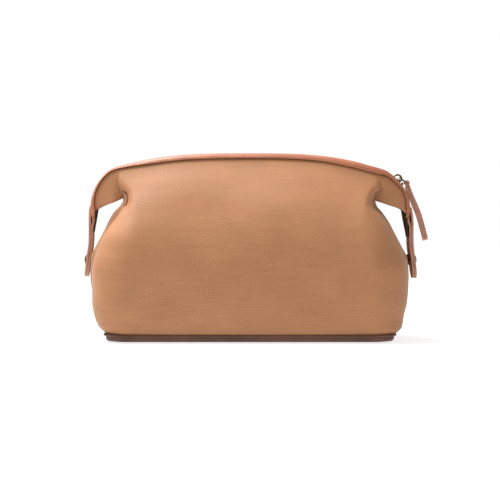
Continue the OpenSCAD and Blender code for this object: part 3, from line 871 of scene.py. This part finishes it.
def tab_rows(side, inset, narrow, t_from=0.0):
    """Rows across a tab: its face set in by inset(t), its width and round end reduced by narrow."""
    path = TAB_FACES[side]
    length = sum(math.dist(a, b) for a, b in zip(path, path[1:]))
    rows = []
    round_end = 0.8 + 0.2 * np.sin(np.linspace(0.06, math.pi / 2, 14))
    shares = np.concatenate([np.linspace(t_from, 0.8, 26), round_end])
    for t in shares:
        here = curve_at(path, t)
        ahead = curve_at(path, min(t + 0.02, 1)) - curve_at(path, max(t - 0.02, 0))
        ahead /= np.linalg.norm(ahead)
        left = (1 - t) * length
        half_w = TAB_HALF_W
        if left < TAB_HALF_W:
            half_w = math.sqrt(max(TAB_HALF_W**2 - (TAB_HALF_W - left) ** 2, 0.09))
        half_w = max(half_w - narrow, 0.2)
        here = here - inset(t) * np.array([-ahead[1], ahead[0]])
        turn = TAB_TURN[side]
        across = np.linspace(-1, 1, 11) * half_w
        rows.append([(side * (here[0] - turn * y), y, here[1]) for y in across])
    return rows if side < 0 else [row[::-1] for row in rows]


def stitch_unit():
    """One stitch: a short piece of thread, thickest in its middle where it leaves the leather."""
    verts, faces = [], []
    rings, around = ((-0.95, 0.12), (-0.75, 0.24), (0, THREAD_R), (0.75, 0.24), (0.95, 0.12)), 6
    for x, r in rings:
        for k in range(around):
            turn = 2 * math.pi * k / around
            verts.append((x * MM, r * math.cos(turn) * MM, r * math.sin(turn) * MM))
    for ring in range(len(rings) - 1):
        for k in range(around):
            a, b = ring * around + k, ring * around + (k + 1) % around
            faces.append((a, b, b + around, a + around))
    faces.append(tuple(range(around))[::-1])
    faces.append(tuple(range((len(rings) - 1) * around, len(rings) * around)))
    mesh = bpy.data.meshes.new("stitch_unit")
    mesh.from_pydata(verts, [], faces)
    return bpy.data.objects.new("stitch_unit", mesh)


# Bonded polyester thread, tan, slightly lighter than the leather that it is sewn through.
thread, thread_tree, thread_shader = new_material("tan_bonded_thread", 0.55)
thread_place = add(thread_tree, "ShaderNodeTexCoord").outputs["Object"]
thread_twist = add(thread_tree, "ShaderNodeTexNoise", {"Vector": thread_place, "Scale": 3000.0})
thread_tan = add(thread_tree, "ShaderNodeValToRGB", {0: thread_twist.outputs["Fac"]},
                 [(0.3, "#8f5c42"), (0.7, "#b98568")])
connect(thread_tree, thread_shader, thread_tan.outputs["Color"], thread_twist.outputs["Fac"], 0.03 * MM)
stitch = stitch_unit()
STITCH_STEP = 2.9


def stitched(name, path):
    sewn = repeat_along(name, path, stitch, STITCH_STEP, thread)
    return sewn


def gap_at(t):
    return TAB_LAYER + float(smooth_through(TAB_SPREAD, t))


for side, word in ENDS:
    outer = strip_object(word + "_outer_tab", tab_rows(side, lambda t: 0, 0), TAB_LAYER, cut_edge)
    inner = strip_object(word + "_inner_tab", tab_rows(side, gap_at, 0.2, 0.06), TAB_LAYER, cut_edge)
    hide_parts(word + "_tab_outer")
    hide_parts(word + "_tab_inner")
    edge = tab_rows(side, lambda t: -0.05, 1.9)
    line = [row[0] for row in edge] + [row[-1] for row in edge[::-1]]
    sewn = stitched(word + "_tab_stitches", line)
    for piece in (outer, inner, sewn):
        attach(piece, word + "_wing")

# The stitching through the facings, close to the lower edge, from one tab to the other.
stitch_y, stitch_n = facing_section[-6]
for front, word in WALLS:
    path = []
    for x in np.linspace(MAIN_FROM, MAIN_TO, FACING_ROWS):
        z = RIDGE - float(ridge_drop(np.array(x)))
        path.append((x, front * (stitch_y + 0.06), z + stitch_n * band_shown(x) / FACING_BAND))
    opens_with(stitched(word + "_facing_stitches", path))
    for side, side_word in ENDS:
        path = []
        for t in np.linspace(0.06, 0.9, 40):
            x, y, z = wing_facing_point(side, front, t, stitch_y, stitch_n)
            path.append((x, y + front * 0.06, z))
        wing_blend(stitched(side_word + "_" + word + "_wing_stitches", path))


# ---------------------------------------------------------------- snap fasteners
# Ring-spring snaps in antiqued brass: a domed cap on the outer layer of each tab, its socket on the
# inner layer, and a stud on a washer through the gusset. The dome has a rolled rim.
SNAP_HEIGHT = 69.0
SNAP_TILT = math.radians(7)


def lathed(name, side, x_face, profile, material, tilt=0.0, steps=40):
    """A turned piece on an axis along X: profile is (distance outward from the face, radius)."""
    rows = []
    for step in range(steps + 1):
        turn = 2 * math.pi * step / steps
        row = []
        for out, r in profile:
            y, up = r * math.cos(turn), r * math.sin(turn)
            along = out * math.cos(tilt) - up * math.sin(tilt)
            z = SNAP_HEIGHT + up * math.cos(tilt) + out * math.sin(tilt)
            row.append((side * (x_face + along), y, z))
        rows.append(row if side > 0 else row[::-1])
    obj = grid_object(name, rows, measured_uvs(rows), material)
    weld = obj.modifiers.new("weld", "WELD")
    weld.merge_threshold = 0.005 * MM
    return finished(obj)


CAP_PROFILE = [(-0.3, 0.02), (-0.3, 4.5), (0.1, 4.85), (0.5, 4.9), (0.85, 4.75), (1.0, 4.45),
               (0.95, 4.15), (1.15, 3.9), (1.65, 3.1), (2.0, 2.1), (2.2, 1.0), (2.25, 0.02)]
SOCKET_PROFILE = [(0, 0.02), (0, 5.3), (-0.5, 5.5), (-1.2, 5.3), (-1.5, 4.6), (-2.6, 4.4),
                  (-2.9, 4.1), (-2.9, 3.6), (-2.5, 3.4), (-0.8, 3.4), (-0.7, 0.02)]
STUD_PROFILE = [(-0.6, 0.02), (-0.6, 4.7), (-0.2, 5.0), (0.2, 4.8), (0.6, 3.6), (0.8, 2.1),
                (1.4, 2.0), (2.1, 2.5), (2.8, 2.5), (3.3, 2.0), (3.5, 0.02)]
GUSSET_FACE = 131.8  # where the stud stands on the gusset
for side, word in ENDS:
    face = curve_at(TAB_FACES[side], 0.74)[0]
    cap = lathed(word + "_snap_dome", side, face, CAP_PROFILE[::-1], antique_brass, SNAP_TILT)
    socket = lathed(word + "_snap_socket_ring", side, face - gap_at(0.7) - TAB_LAYER, SOCKET_PROFILE,
                    antique_brass, SNAP_TILT)
    stud = lathed(word + "_snap_post", side, GUSSET_FACE, STUD_PROFILE[::-1], antique_brass)
    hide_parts(word + "_snap_cap")
    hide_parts(word + "_snap_socket")
    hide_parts(word + "_snap_stud")
    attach(cap, word + "_wing")
    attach(socket, word + "_wing")
    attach(stud, "shell")
    refinish(word + "_snap_washer", antique_brass)


# ---------------------------------------------------------------- slider, bail and pull
# The slider is cast brass: two plates joined by a post, with flanges that hold the chain and a round
# crown on top. A wire bail hangs from the crown and carries the leather pull.
SLIDER_ANGLE = math.asin(127 / ZIP_R)


def at_slider(point):
    """From the slider's own millimetres (along the zip, across it, out of it) to the bag's."""
    x, y, z = point
    c, s = math.cos(SLIDER_ANGLE), math.sin(SLIDER_ANGLE)
    return (x * c + (ZIP_R + z) * s, y, ZIP_TOP - ZIP_R - x * s + (ZIP_R + z) * c)


def slab(outline, low, high):
    """Vertices and faces of an outline in the slider's plane, given a thickness."""
    count = len(outline)
    verts = [at_slider((x, y, z)) for z in (low, high) for x, y in outline]
    sides = [(i, (i + 1) % count, count + (i + 1) % count, count + i) for i in range(count)]
    return verts, [tuple(range(count))[::-1], tuple(range(count, 2 * count))] + sides


def joined(name, parts, material, bevel):
    verts, faces = [], []
    for part_verts, part_faces in parts:
        faces += [tuple(i + len(verts) for i in f) for f in part_faces]
        verts += part_verts
    mesh = bpy.data.meshes.new(name)
    mesh.from_pydata([tuple(c * MM for c in v) for v in verts], [], faces)
    mesh.materials.append(material)
    obj = bpy.data.objects.new(name, mesh)
    bpy.context.scene.collection.objects.link(obj)
    if bevel:
        round_off = obj.modifiers.new("round", "BEVEL")
        round_off.width = bevel * MM
        round_off.segments = 2
        round_off.limit_method = "ANGLE"
    finished(obj)
    obj.data.polygons.foreach_set("use_smooth", [True] * len(obj.data.polygons))
    obj.data.set_sharp_from_angle(angle=math.radians(40))
    return obj


def tube(path, radius, sides=12, closed=False):
    """A round wire along a path in the XZ plane or any smooth path, as vertices and faces."""
    points = [Vector(p) for p in path]
    count = len(points)
    verts, faces = [], []
    for i, here in enumerate(points):
        ahead = points[(i + 1) % count] if closed or i < count - 1 else here
        behind = points[i - 1] if closed or i > 0 else here
        along = (ahead - behind).normalized()
        across = along.cross(Vector((0.3, 0.1, 1))).normalized()
        up = along.cross(across)
        for k in range(sides):
            turn = 2 * math.pi * k / sides
            verts.append(tuple(here + radius * (math.cos(turn) * across + math.sin(turn) * up)))
    for i in range(count if closed else count - 1):
        for k in range(sides):
            a, b = i * sides + k, i * sides + (k + 1) % sides
            c, d = ((i + 1) % count) * sides + (k + 1) % sides, ((i + 1) % count) * sides + k
            faces.append((a, b, c, d))
    if not closed:
        faces.append(tuple(range(sides))[::-1])
        faces.append(tuple(range((count - 1) * sides, count * sides)))
    return verts, faces


def plate_outline(nose, back, shoulder, half_w, nose_w):
    """The slider's plan: square at the back, where the rows part, narrowing to a round nose."""
    right = [(-back, half_w * 0.55), (-back + 0.9, half_w * 0.9), (-back + 2.2, half_w), (shoulder, half_w),
             (nose - 1.6, nose_w), (nose - 0.5, nose_w * 0.75), (nose, nose_w * 0.3)]
    return [(x, -y) for x, y in right] + [(x, y) for x, y in right[::-1]]


PLATE_OUTLINE = plate_outline(3.5, 5.5, 0.6, 4.6, 3.3)
CROWN_R, CROWN_WIRE = 3.6, 0.75
crown_path = [at_slider((-0.2 + CROWN_R * math.cos(a), 0, 2.5 + CROWN_R * 1.02 * math.sin(a)))
              for a in np.linspace(-0.06, math.pi + 0.06, 26)]
slider_parts = [slab(PLATE_OUTLINE, 1.5, 2.7), slab(PLATE_OUTLINE, -2.7, -1.5)]
for low, high in ((0.5, 1.7), (-1.7, -0.5)):
    for side in (-1, 1):
        flange = [(-5.3, side * 4.55), (0.4, side * 4.55), (0.4, side * 3.75), (-5.3, side * 3.75)]
        slider_parts.append(slab(flange[::-side], low, high))
slider_parts.append(slab([(0.4, -1.1), (2.6, -1.3), (3.2, 0), (2.6, 1.3), (0.4, 1.1)], -1.7, 1.7))
slider_body = joined("slider_plates", slider_parts, antique_brass, 0.3)
crown = joined("slider_crown", [tube(crown_path, CROWN_WIRE)], antique_brass, 0)
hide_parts("zip_slider")
for piece in (slider_body, crown):
    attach(piece, "slider")

# The bottom stop: a brass staple clenched over both tapes at the far end of the chain.
STOP_ANGLE = math.asin(126.5 / ZIP_R)


def staple_corner(along, y, up):
    c, s = math.cos(STOP_ANGLE), math.sin(STOP_ANGLE)
    return -((ZIP_R + up) * s + along * c), y, ZIP_TOP - ZIP_R + (ZIP_R + up) * c - along * s


staple = []
for low, high in ((-1.2, -0.4), (0.4, 1.2)):
    corners = [(a, y, u) for u in (low, high) for a, y in ((-1.4, -3), (1.4, -3), (1.4, 3), (-1.4, 3))]
    staple.append(([staple_corner(*corner) for corner in corners],
                   [(0, 1, 2, 3), (7, 6, 5, 4), (4, 5, 1, 0), (5, 6, 2, 1), (6, 7, 3, 2), (7, 4, 0, 3)]))
bottom_stop = joined("chain_end_staple", staple, zip_brass, 0.25)
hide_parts("zip_bottom_stop")
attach(bottom_stop, "left_wing")

BAIL_PIVOT = (0.9, 4.4)
BAIL_TILT = math.radians(18)
BAIL_LEN, BAIL_HALF_W, BAIL_WIRE = 8.0, 3.7, 0.58


def at_bail(point):
    x, y, z = point
    c, s = math.cos(BAIL_TILT), math.sin(BAIL_TILT)
    return at_slider((BAIL_PIVOT[0] + x * c + z * s, y, BAIL_PIVOT[1] - x * s + z * c))


corner = 1.3
bail_path = []
for cx, cy, start in ((BAIL_LEN - corner, BAIL_HALF_W - corner, 0), (corner, BAIL_HALF_W - corner, 90),
                      (corner, corner - BAIL_HALF_W, 180), (BAIL_LEN - corner, corner - BAIL_HALF_W, 270)):
    for step in range(7):
        turn = math.radians(start + 15 * step)
        bail_path.append(at_bail((cx + corner * math.cos(turn), cy + corner * math.sin(turn), 0)))
bail = joined("wire_bail", [tube(bail_path, BAIL_WIRE, closed=True)], antique_brass, 0)
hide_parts("pull_bail")
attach(bail, "bail")

PULL_ANGLE = math.radians(71.8)
PULL_LEN, PULL_HALF_W, PULL_LAYER = 52.0, 4.0, 2.1
PULL_TWIST = math.radians(8)
LOOP_R = 1.3
pull_from = at_bail((BAIL_LEN, 0, 0))


def at_pull(s, y, n):
    """From the pull's own millimetres: down its length, across it, and out of its outer face."""
    n -= 0.9 * float(smoothstep(s / 6) * (1 - smoothstep((s - 12) / 20)))
    n += 1.2 * math.sin(math.pi * min(s / PULL_LEN, 1)) if s > 0 else 0
    turn = PULL_TWIST * float(smoothstep(s / 20))
    y, n = y * math.cos(turn) - n * math.sin(turn), n * math.cos(turn) + y * math.sin(turn)
    return (pull_from[0] + s * math.cos(PULL_ANGLE) + n * math.sin(PULL_ANGLE), y,
            pull_from[2] - s * math.sin(PULL_ANGLE) + n * math.cos(PULL_ANGLE))


def pull_half_width(s):
    neck = 2.7 + (PULL_HALF_W - 2.7) * float(smoothstep((s - 2.5) / 5))
    left = PULL_LEN - s
    if left < PULL_HALF_W:
        return math.sqrt(max(PULL_HALF_W**2 - (PULL_HALF_W - left) ** 2, 0.05))
    return neck


pull_line = []
down = np.concatenate([np.linspace(3.4, PULL_LEN - PULL_HALF_W, 30),
                       PULL_LEN - PULL_HALF_W + PULL_HALF_W * np.sin(np.linspace(0.1, math.pi / 2, 10))])
for s in down[::-1]:
    pull_line.append((s, PULL_LAYER / 2 + 0.02))
for turn in np.linspace(0.35, 2 * math.pi - 0.35, 18):
    pull_line.append((LOOP_R * math.cos(turn) * 1.1, LOOP_R * math.sin(turn)))
for s in down:
    pull_line.append((s, -PULL_LAYER / 2 - 0.02))
pull_rows = []
for s, n in pull_line:
    pull_rows.append([at_pull(s, y * pull_half_width(max(s, 0)), n) for y in np.linspace(1, -1, 9)])
pull = strip_object("leather_zip_pull", pull_rows, PULL_LAYER, cut_edge, offset=0)
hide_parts("leather_pull")
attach(pull, "pull")
PULL_SEAM = 1.1
for face, word in ((1, "outer"), (-1, "inner")):
    rim = [(s, max(pull_half_width(s) - PULL_SEAM, 0.1)) for s in np.linspace(7, PULL_LEN - PULL_SEAM, 60)]
    line = [at_pull(s, y, face * (PULL_LAYER + 0.06)) for s, y in rim]
    line += [at_pull(s, -y, face * (PULL_LAYER + 0.06)) for s, y in rim[::-1]]
    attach(stitched("pull_" + word + "_stitches", line), "pull")
